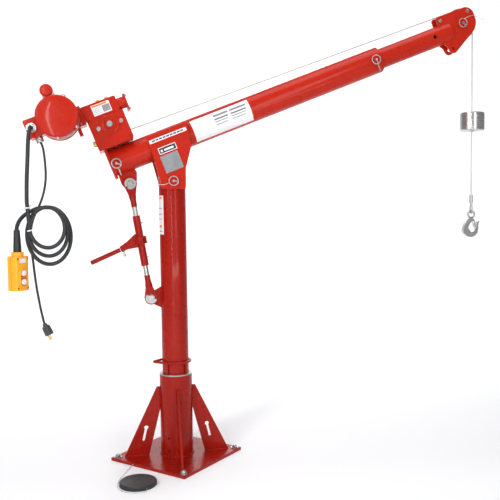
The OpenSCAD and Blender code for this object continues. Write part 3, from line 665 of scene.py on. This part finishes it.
def thread(bm, matrix, radius, low, high, pitch=0.003, depth=0.00035):
    """Screw thread between two heights of the frame's Z axis."""
    steps, rows = 24, []
    count = int((high - low) / (pitch / 4))
    for k in range(count + 1):
        z = low + (high - low) * k / count
        row = []
        for j in range(steps):
            phase = (z / pitch - j / steps) % 1
            r = radius + depth * (0.5 - abs(phase - 0.5)) * 2 - depth * 0.2
            a = 2 * math.pi * j / steps
            row.append(bm.verts.new(matrix @ Vector((r * math.cos(a), r * math.sin(a), z))))
        rows.append(row)
    close_rings(bm, rows)


def second_look(piece, look, test):
    """Gives the faces whose centre passes the test another material."""
    piece.data.materials.append(look)
    for polygon in piece.data.polygons:
        if test(polygon.center):
            polygon.material_index = len(piece.data.materials) - 1


# ---------- the CAD nodes' own surfaces ----------

ROUNDED = {
    "base_plate": 0.0012, "base_gussets": 0.0012, "socket_tube": 0.001, "socket_bearings": 0.0012,
    "socket_cap": 0.0008, "mast_tube": 0.0014, "mast_lug": 0.0012, "jack_barrel": 0.001,
    "jack_lower_fork": 0.0015, "jack_upper_fork": 0.0015, "jack_lower_pin": 0.001, "jack_upper_pin": 0.001,
    "ratchet_body": 0.0022, "ratchet_handle": 0.0008, "ratchet_pawl": 0.0008, "boom_tube": 0.001,
    "side_plates": 0.0012, "tail_lug": 0.0012, "inner_tube": 0.0008, "head_plates": 0.0012,
    "winch_mount": 0.0016, "bearing_plate": 0.0014, "gearbox_housing": 0.002, "gearbox_cover": 0.0022,
    "worm_housing": 0.0026, "worm_end_cap": 0.002, "gearhead": 0.004, "motor_housing": 0.0016,
    "motor_cover": 0.001, "capacitor_case": 0.0008, "junction_box": 0.0026, "hook": 0.0032,
    "hook_latch": 0.0004, "pendant_shell": 0.0016, "button_up": 0.001, "button_down": 0.001,
    "power_plug": 0.0008, "cable_glands": 0.0008, "boom_bushing": 0.0006, "pendant_boot": 0.001,
    "pivot_pin": 0.0006, "sheave_pin": 0.0006, "winch_pin": 0.0006, "extension_pin": 0.0006,
}
RING_PINS = ("pivot_pin", "sheave_pin", "winch_pin", "extension_pin")


def finish_nodes():
    """Rounds the visible nodes' edges, gives the others their material, and paints the ring pins' heads."""
    finished = {node: rounded_node(node, width) for node, width in ROUNDED.items()}
    for node, body in NODES.items():
        if node in ROUNDED:
            continue
        body.data.materials.clear()
        body.data.materials.append(MATERIAL[SLOT_OF[node]])
        smooth(body.data)
    head_start, head_end = 0.0055, 0.0155
    for node in RING_PINS:
        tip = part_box(node)[0].y
        second_look(finished[node], MATERIAL["boom_paint"],
                    lambda c, tip=tip: tip + head_start < c.y < tip + head_end)
    return finished


# ---------- base and mast ----------

def add_base():
    """Anchor bolts, welds, and two set screws in the socket's tapped holes, coloured near black as painted
    shade deep in the holes.
    """
    nut_turn = math.degrees(0.4)
    places = [Matrix.Translation(polar(ANCHOR_R, a, PLATE_T)) @ turned(a + nut_turn, "Z")
              for a in range(0, 360, 90)]

    def anchor(bm, place):
        hex_bolt(bm, place, 0.0125, 0.0105)
        lathe(bm, [(0, 0.0100), (0.0078, 0.0100), (0.0078, 0.0130), (0.006, 0.0145), (0, 0.0145)], place, 20)

    many("anchor_bolts", "base", "zinc_steel", places, anchor)
    wall, foot = SOCKET_R + 0.001, PLATE_T + 0.001
    gusset_half, bead, socket_bead = 0.0062, 0.0034, 0.0042
    bm = bmesh.new()
    for k in range(4):
        turn = turned(90 * k, "Z")
        for side in (-1, 1):
            y = side * gusset_half
            weld_bead(bm, turn @ Vector((wall, y, 0.212)), turn @ Vector((wall, y, 0.306)), bead, k + side)
            weld_bead(bm, turn @ Vector((0.123, y, foot)), turn @ Vector((0.222, y, foot)), bead,
                      k * 3 + side)
    ring = [polar(SOCKET_R, a, PLATE_T + 0.0012) for a in range(0, 361, 12)]
    for k, (start, end) in enumerate(zip(ring, ring[1:])):
        weld_bead(bm, start, end, socket_bead, k)
    piece_from(bm, "base_welds", "base", "base_paint", angle=80)
    tapped = [facing(polar(SOCKET_R - 0.0058, 236, z), polar(1, 236)) for z in (0.040, 0.095)]

    def set_screw(bm, place):
        lathe(bm, [(0, 0), (0.00495, 0), (0.00495, 0.0010), (0.0026, 0.0010), (0.0022, 0.0002), (0, 0.0002)],
              place, 24)

    # The set screws are coloured near black as painted shade inside the tapped holes.
    many("socket_set_screws", "base", "base_paint", tapped, set_screw, EXTRA["painted_hole_shade"])


def add_mast():
    """Welds along the jack's lug, and the label with blank marks and lines."""
    bm = bmesh.new()
    wall = -MAST_R + 0.0002
    for side in (-1, 1):
        y = side * 0.0078
        weld_bead(bm, (wall, y, 0.653), (wall, y, 0.741), 0.0032, side)
    piece_from(bm, "lug_welds", "mast", "base_paint", angle=80)
    curved_patch("mast_label", "mast", "base_paint", "label_white", WORLD, MAST_R + 0.0001, (162, 223),
                 (0.966, 1.130))
    for k, z in enumerate((1.115, 0.995)):
        curved_patch(f"mast_label_mark_{k}", "mast", "base_paint", "label_orange", WORLD,
                     MAST_R + 0.0005, (190, 214), (z, z + 0.010), 0.0003)
    for k, z in enumerate((1.075, 1.050, 1.030, 0.978)):
        curved_patch(f"mast_label_line_{k}", "mast", "base_paint", "label_grey", WORLD,
                     MAST_R + 0.0005, (172, 216), (z, z + 0.003), 0.0002)


# ---------- screw jack ----------

def add_jack(finished):
    """Bare necks and threads, nuts and painted plates on the pins, grease nipples, the ratchet's trim."""
    foot, head = JACK, JACK @ moved(0, 0, JACK_LENGTH) @ turned(180, "Y")
    neck_end = 0.0985
    for node, place, body in (("jack_lower_fork", foot, "jack_lower"),
                              ("jack_upper_fork", head, "jack_upper")):
        back = place.inverted()
        second_look(finished[node], MATERIAL["zinc_steel"], lambda c, back=back: (back @ c).z > neck_end)
        bm = bmesh.new()
        thread(bm, place, 0.01045, 0.1, 0.139)
        piece_from(bm, node + "_thread", body, "zinc_steel", angle=25)
    pin_head_r, nut_r = 0.0125, 0.0138
    for node, place, body in (("jack_lower_pin", foot, "jack_lower"), ("jack_upper_pin", head, "jack_upper")):
        x, z = place.translation.x, place.translation.z
        near, far = [corner.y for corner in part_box(node)]
        second_look(finished[node], MATERIAL["base_paint"],
                    lambda c, x=x, z=z: math.hypot(c.x - x, c.z - z) > pin_head_r)
        bm = bmesh.new()
        hex_bolt(bm, facing((x, near + 0.0085, z), (0, -1, 0)), nut_r, 0.0095, 1.1)
        hex_bolt(bm, facing((x, far - 0.0070, z), (0, 1, 0)), nut_r, 0.0080, 1.1)
        piece_from(bm, node + "_nuts", body, "zinc_steel", bevel=0.0005)
    nubs = [JACK @ moved(0.014, -0.008, s) @ turned(80, "Y") for s in (0.176, 0.322)]

    def nipple(bm, place):
        lathe(bm, [(0.0038, 0), (0.0038, 0.004), (0.002, 0.0055), (0.0027, 0.0075), (0.0015, 0.0095),
                   (0, 0.0095)], place, 14)

    many("grease_nipples", "barrel", "zinc_steel", nubs, nipple)
    bm = bmesh.new()
    for height in (0.2345, 0.2555):
        lathe(bm, [(0.0262, height), (0.0275, height + 0.001), (0.0275, height + 0.008),
                   (0.0262, height + 0.009)], JACK, 48)
    cap_screw(bm, JACK @ moved(-0.018, -0.011, 0.251) @ turned(90, "X"), 0.0065, 0.004)
    cap_screw(bm, JACK @ moved(0.004, -0.0268, 0.250) @ turned(90, "X"), 0.006, 0.003)
    piece_from(bm, "ratchet_trim", "ratchet", "base_paint")


# ---------- boom ----------

def add_boom():
    """Labels, strips and plates, their rivets, the boom's welds, and the tags of two ring pins."""
    along = BOOM @ turned(90, "Y")
    curved_patch("load_label", "boom", "boom_paint", "label_white", along, BOOM_R + 0.0001, (-137, -33),
                 (0.096, 0.360))
    rows = [(-122, -113), (-104, -98), (-92, -88), (-80, -76)]
    for k, (low, high) in enumerate(rows):
        for j, (start, end) in enumerate(((0.196, 0.262), (0.270, 0.345))):
            curved_patch(f"load_label_line_{k}_{j}", "boom", "boom_paint", "label_grey", along,
                         BOOM_R + 0.0005, (low, high), (start, end - 0.004 * k), 0.0002)
    plate = front(0, SIDE_PLATE_FRONT, 0)
    sticker("name_strip", "boom", "boom_paint", "label_white", plate,
            rectangle(-0.096, 0.069, 0.012, 0.027, 0.003))
    for k in range(9):
        start = -0.084 + 0.0158 * k
        sticker(f"name_strip_block_{k}", "boom", "boom_paint", "label_black", plate,
                rectangle(start, start + 0.0125, 0.0165, 0.0225), lift=0.0005, thickness=0.0004)
    sticker("frame_sticker", "boom", "boom_paint", "label_white", plate,
            rectangle(-0.074, 0.004, -0.043, -0.015, 0.002))
    sticker("frame_sticker_field", "boom", "boom_paint", "label_black", plate,
            rectangle(-0.071, 0.001, -0.040, -0.018, 0.001), lift=0.0005, thickness=0.0004)
    sticker("frame_sticker_bar", "boom", "boom_paint", "label_white", plate,
            rectangle(-0.050, -0.008, -0.034, -0.026, 0.001), lift=0.0008, thickness=0.0003)
    sticker("frame_sticker_dot", "boom", "boom_paint", "label_white", plate, circle(-0.061, -0.030, 0.005),
            lift=0.0008, thickness=0.0003)
    sticker("data_plate", "boom", "boom_paint", "label_grey", plate,
            rectangle(-0.078, 0.000, -0.124, -0.050, 0.002), thickness=0.0012)
    rivets = [plate @ moved(x, y, 0.001) for x in (-0.073, -0.005) for y in (-0.119, -0.055)]
    screws("data_plate_rivets", "boom", "zinc_steel", rivets, 0.0028, 0.0018)
    bm = bmesh.new()
    for y, seed in ((-0.0590, 2), (0.0590, 5)):
        weld_bead(bm, BOOM @ Vector((-0.100, y, 0.0445)), BOOM @ Vector((0.080, y, 0.0445)), 0.003, seed)
    for side in (-1, 1):
        y = side * 0.0078
        weld_bead(bm, BOOM @ Vector((-0.258, y, -0.0572)), BOOM @ Vector((-0.190, y, -0.0572)), 0.003, side)
    piece_from(bm, "boom_welds", "boom", "boom_paint", angle=80)
    for name, body, u, v in (("extension_tag", "extension_pin", 0.964, 0.0),
                             ("winch_tag", "winch_pin", -0.253, -0.010)):
        sticker(name, body, "zinc_steel", "label_grey", front(u, LOCK_PIN_FRONT, v),
                rectangle(-0.0025, 0.0025, -0.052, -0.0195, 0.0022), thickness=0.0008)


def add_head():
    """Welds between the head plates and the inner tube, and the bolts of the nose."""
    bm = bmesh.new()
    for side in (-1, 1):
        y = side * 0.0262
        weld_bead(bm, BOOM @ Vector((1.3185, y, -0.034)), BOOM @ Vector((1.3185, y, 0.034)), 0.003, side)
    piece_from(bm, "head_welds", "inner_boom", "boom_paint", angle=80)
    places = [front(u, HEAD_PLATE_FRONT, v) for u, v in ((1.335, 0.060), (1.478, 0.058))]
    bolts("head_bolts", "inner_boom", places, 0.006, 0.005)


# ---------- winch ----------

def add_winch():
    """Screws, bolts, plugs and labels of the gearbox and gearhead, and the rope wound on the drum."""
    cover = [front(u, GEARBOX_FRONT, v) for v in (0.075, 0.175) for u in (-0.288, -0.156)]
    screws("gearbox_screws", "boom", "boom_paint", cover, 0.0055, 0.0035)
    seats = [front(u, GEARBOX_FRONT, 0.142) for u in (-0.266, -0.170)]
    bolts("gearbox_bolts", "boom", seats, 0.0075, 0.007, 1.15)
    bm = bmesh.new()
    shaft = front(DRUM_U, GEARBOX_FRONT, DRUM_V)
    lathe(bm, [(0.0325, 0.004), (0.0342, 0.0055), (0.0372, 0.0055), (0.0390, 0.004)], shaft, 64)
    lathe(bm, [(0.0165, 0.008), (0.0175, 0.0095), (0.0205, 0.0095), (0.0215, 0.008)], shaft, 48)
    piece_from(bm, "gearbox_ridges", "boom", "boom_paint", angle=50)
    bm = bmesh.new()
    lathe(bm, [(0, 0.009), (0.0118, 0.009), (0.0118, 0.0102), (0.0105, 0.0112), (0.003, 0.0112),
               (0.0024, 0.0098), (0, 0.0096)], shaft, 40)
    piece_from(bm, "drum_shaft_end", "drum", "bearing_steel")
    side = BOOM @ moved(-0.298, -0.060, 0.092) @ turned(-90, "Y")
    bm = bmesh.new()
    hex_bolt(bm, side, 0.0115, 0.012, 1.1)
    piece_from(bm, "drain_plug", "boom", "zinc_steel", EXTRA["yellow_zinc"])
    top = [BOOM @ moved(u, -0.064, 0.245) for u in (-0.226, -0.190)]
    bolts("fill_plugs", "boom", top, 0.0085, 0.009, 1.1, EXTRA["yellow_zinc"])
    flange = [BOOM @ moved(-0.118, y, v) @ turned(90, "Y") for y in (-0.091, -0.037) for v in (0.177, 0.231)]
    bolts("flange_bolts", "boom", flange, 0.0055, 0.0055, 1.1)
    label = front(-0.302, WORM_HOUSING_FRONT, 0.185)
    sticker("winch_label", "boom", "boom_paint", "label_white", label,
            rectangle(0.040, 0.116, 0.007, 0.051, 0.001))
    sticker("winch_label_bar", "boom", "boom_paint", "label_orange", label,
            rectangle(0.043, 0.106, 0.042, 0.049), lift=0.0005, thickness=0.0003)
    sticker("winch_label_block", "boom", "boom_paint", "label_grey", label,
            rectangle(0.082, 0.113, 0.012, 0.039), lift=0.0005, thickness=0.0003)
    for k in range(4):
        sticker(f"winch_label_line_{k}", "boom", "boom_paint", "label_grey", label,
                rectangle(0.044, 0.078 - 0.005 * (k % 2), 0.013 + 0.0065 * k, 0.0145 + 0.0065 * k),
                lift=0.0005, thickness=0.0002)
    head = [front(-0.322, GEARHEAD_FRONT, v) for v in (0.182, 0.240)]
    screws("gearhead_screws", "boom", "zinc_steel", head, 0.005, 0.004)
    turns, points_per_turn = 13, 6
    points = turns * points_per_turn
    core, crest, back, width = 0.0377, 0.0030, -0.0326, 0.0852
    profile = [(core - 0.0001, back - 0.0002)]
    for k in range(points + 1):
        bulge = abs(math.sin(math.pi * k / points_per_turn))
        profile.append((core + crest * bulge, back + width * k / points))
    profile.append((core - 0.0001, back + width + 0.0001))
    bm = bmesh.new()
    lathe(bm, [(r, -h) for r, h in profile], front(DRUM_U, 0, DRUM_V), 56)
    rope = piece_from(bm, "wound_rope", "drum", "wire_rope", angle=70)
    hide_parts("rope_on_drum")


def add_motor():
    """Trim of the motor, its capacitor and its junction box."""
    centre = front(MOTOR_U, 0, MOTOR_V)
    face = -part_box("motor_cover")[0].y
    dimples = [centre @ Matrix.Translation(polar(0.020, a, face - 0.0012)) for a in (75, -15, 205)]

    def dimple(bm, place):
        lathe(bm, [(0.0048, 0), (0.0046, 0.0014), (0.0034, 0.0018), (0.0026, 0.0008), (0, 0.0004)], place, 24)

    many("motor_dimples", "boom", "boom_paint", dimples, dimple)
    bm = bmesh.new()
    lathe(bm, [(MOTOR_R - 0.0012, face - 0.0190), (MOTOR_R + 0.0012, face - 0.0180),
               (MOTOR_R + 0.0012, face - 0.0125), (MOTOR_R - 0.0006, face - 0.0115)], centre, 96)
    piece_from(bm, "motor_rim", "boom", "boom_paint", angle=50)
    tabs = [centre @ Matrix.Translation(polar(MOTOR_R + 0.0015, a, 0.262)) for a in (50, 250, 310)]
    bolts("motor_through_bolts", "boom", tabs, 0.0045, 0.005, 1.1)
    band = centre @ moved(0, 0, 0.205)
    curved_patch("motor_band", "boom", "zinc_steel", "label_grey", band, MOTOR_R + 0.0004, (-115, -20),
                 (0, 0.022), 0.0014)
    ribs = bmesh.new()
    for k in range(6):
        z = 0.142 + 0.0105 * k
        lathe(ribs, [(MOTOR_R - 0.0004, z - 0.0018), (MOTOR_R + 0.0012, z - 0.0012),
                     (MOTOR_R + 0.0012, z + 0.0012), (MOTOR_R - 0.0004, z + 0.0018)], centre, 72)
    piece_from(ribs, "motor_ribs", "boom", "boom_paint", angle=50)
    bm = bmesh.new()
    can = front(MOTOR_U + 0.001, 0, MOTOR_V + MOTOR_R + 0.0235)
    lathe(bm, [(0.0228, 0.247), (0.0245, 0.2485), (0.0245, 0.2535), (0.0228, 0.2548)], can, 48)
    lathe(bm, [(0.0228, 0.150), (0.0245, 0.1515), (0.0245, 0.1575), (0.0228, 0.159)], can, 48)
    piece_from(bm, "capacitor_clips", "boom", "boom_paint", angle=50)
    lid = BOOM @ moved(-0.521, -0.195, 0.217) @ turned(-90, "Y")
    bm = bmesh.new()
    slab(bm, rectangle(-0.034, 0.034, -0.034, 0.034, 0.004), 0, 0.0025, lid)
    piece_from(bm, "junction_lid", "boom", "boom_paint", bevel=0.0008)
    corners = [lid @ moved(x, y, 0.0024) for x in (-0.028, 0.028) for y in (-0.028, 0.028)]
    screws("junction_screws", "boom", "zinc_steel", corners, 0.0032, 0.0022)
    glands = [(front(-0.502, -0.2322, 0.218), 0.0205, 0.0095),
              (BOOM @ moved(-0.492, -0.195, 0.1795) @ turned(180, "X"), 0.0155, 0.011)]
    for k, (place, radius, height) in enumerate(glands):
        bm = bmesh.new()
        inner = radius * 0.7
        lathe(bm, [(inner, 0), (radius, 0), (radius, height * 0.85), (radius * 0.9, height), (inner, height)],
              place, 6)
        piece_from(bm, f"gland_nut_{k}", "boom", "zinc_steel", bevel=0.0006)


# ---------- rope and hook ----------

def add_rope():
    """Laid rope over the boom and the sheave and down to the hook, in one piece for each body."""
    lap_r, step = 0.0655, 0.003
    arc = [BOOM @ Vector((SHEAVE_U + lap_r * math.sin(a), 0, SHEAVE_V + lap_r * math.cos(a)))
           for a in [math.radians(d) for d in range(0, 106, 3)]]
    start = BOOM @ Vector((DRUM_U + 0.020, 0, DRUM_V - 0.041))
    stranded("boom_rope", even([start, arc[0]], step) + arc[1:], ROPE_R, "inner_boom", ["rope_run"])
    low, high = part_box("rope_fall")
    bottom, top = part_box("tension_weight")
    middle = (bottom.z + top.z) / 2
    upper = even([(HOOK_X, 0, high.z), (HOOK_X, 0, middle)], step)
    lower = even([(HOOK_X, 0, middle), (HOOK_X, 0, low.z)], step)
    stranded("hanging_rope", upper, ROPE_R, "rope_hang", ["rope_fall"])
    stranded("hook_rope", lower, ROPE_R, "hook_block", [])
    bm = bmesh.new()
    for place in (moved(HOOK_X, 0, bottom.z) @ turned(180, "X"), moved(HOOK_X, 0, top.z)):
        lathe(bm, [(0.0038, 0), (0.011, 0), (0.011, 0.0016), (0.0095, 0.0026), (0.0038, 0.0026)], place, 32)
    piece_from(bm, "weight_collars", "hook_block", "zinc_steel")


# ---------- handset, plug and ties ----------

def add_handset(finished):
    """Plates, screws and seam of the handset, a darker sheet as painted shade in its button recess, the ribs
    of its boot, and the plug's grip and contacts.
    """
    face = HAND @ moved(0, -0.026, 0) @ turned(90, "X")
    sticker("handset_plate", "pendant", "handset_plastic", "label_white", face,
            rectangle(-0.0145, 0.0145, 0.104, 0.120, 0.0015), thickness=0.0012)
    # A flat darker orange sheet: painted shade in the recess round the buttons.
    sticker("handset_recess_shade", "pendant", "handset_plastic", "handset_seam_and_recess_shade", face,
            rectangle(-0.0135, 0.0135, 0.020, 0.079, 0.0134, 8), lift=0.0002)
    dots = [face @ moved(0, z, 0.0060) for z in (0.033, 0.066)]
    for body, place in zip(("button_down", "button_up"), dots):
        bm = bmesh.new()
        lathe(bm, [(0.0032, 0.0), (0.0034, 0.0005), (0.0026, 0.0008), (0, 0.0008)], place, 20)
        piece_from(bm, body + "_mark", body, "button_plastic", EXTRA["label_grey"])
    corners = [face @ moved(x, z, 0) for z in (0.010, 0.119) for x in (0.023, -0.023)]
    screws("handset_screws", "pendant", "handset_plastic", corners, 0.0034, 0.0016, EXTRA["handset_screw"])
    bm = bmesh.new()
    outer = rectangle(-0.0304, 0.0304, 0.0, 0.1284, 0.004)
    inner = rectangle(-0.0290, 0.0290, 0.0014, 0.127, 0.004)
    seam = HAND @ moved(0, 0.004, 0) @ turned(90, "X")
    rings = [[bm.verts.new(seam @ Vector((x, y, z))) for x, y in outline]
             for outline in (outer, inner) for z in (0, 0.0014)]
    count = len(outer)
    for a, b in ((0, 1), (1, 3), (3, 2), (2, 0)):
        for k in range(count):
            n = (k + 1) % count
            bm.faces.new((rings[a][k], rings[a][n], rings[b][n], rings[b][k]))
    piece_from(bm, "handset_seam", "pendant", "handset_plastic", EXTRA["handset_seam_and_recess_shade"])
    plug = Matrix.Translation(POWER_ROUTE[-1]) @ turned(157, "Y")
    back = plug.inverted()
    body_end = 0.0482
    second_look(finished["power_plug"], EXTRA["plug_brass"], lambda c: (back @ c).z > body_end)
    bm = bmesh.new()
    for k in range(6):
        z = 0.016 + 0.004 * k
        r = 0.0152 + 0.002 * (z - 0.012) / 0.036
        lathe(bm, [(r - 0.0006, z), (r + 0.0009, z + 0.0005), (r + 0.0009, z + 0.0015),
                   (r - 0.0006, z + 0.002)], plug, 32)
    piece_from(bm, "plug_grip", "pendant", "plug_plastic")
    boot = moved(HANDSET.x, HANDSET.y, HANDSET.z + 0.143)
    bm = bmesh.new()
    for k in range(5):
        z = 0.0135 + 0.009 * k
        r = 0.0150 - 0.004 * z / 0.082
        lathe(bm, [(r - 0.0006, z), (r + 0.0008, z + 0.0006), (r + 0.0008, z + 0.0026),
                   (r - 0.0006, z + 0.0032)], boot, 32)
    piece_from(bm, "boot_ribs", "pendant", "black_rubber")


def add_ties():
    """Two white cable ties round the coil and the run that carries it."""
    ties = [((-0.5605, -0.3155, 1.086), (0.1, 0.25, -1)), (coil_point(1.6), (0.2, 0.05, -1))]
    inner, outer, half = 0.0078, 0.0092, 0.0022
    for k, (place, direction) in enumerate(ties):
        frame_here = facing(place, direction)
        bm = bmesh.new()
        lathe(bm, [(inner, -half), (outer, -half), (outer, half), (inner, half), (inner, -half)],
              frame_here, 32)
        slab(bm, rectangle(-0.0032, 0.0032, 0.0085, 0.0135), -0.0030, 0.0030, frame_here)
        slab(bm, rectangle(-0.0010, 0.0010, 0.0130, 0.0260), -0.0020, 0.0020, frame_here)
        piece_from(bm, f"cable_tie_{k}", "pendant", "button_plastic", EXTRA["cable_tie"])


add_camera()
add_studio()
finished_nodes = finish_nodes()
add_cords()
add_base()
add_mast()
add_jack(finished_nodes)
add_boom()
add_head()
add_winch()
add_motor()
add_rope()
add_handset(finished_nodes)
add_ties()
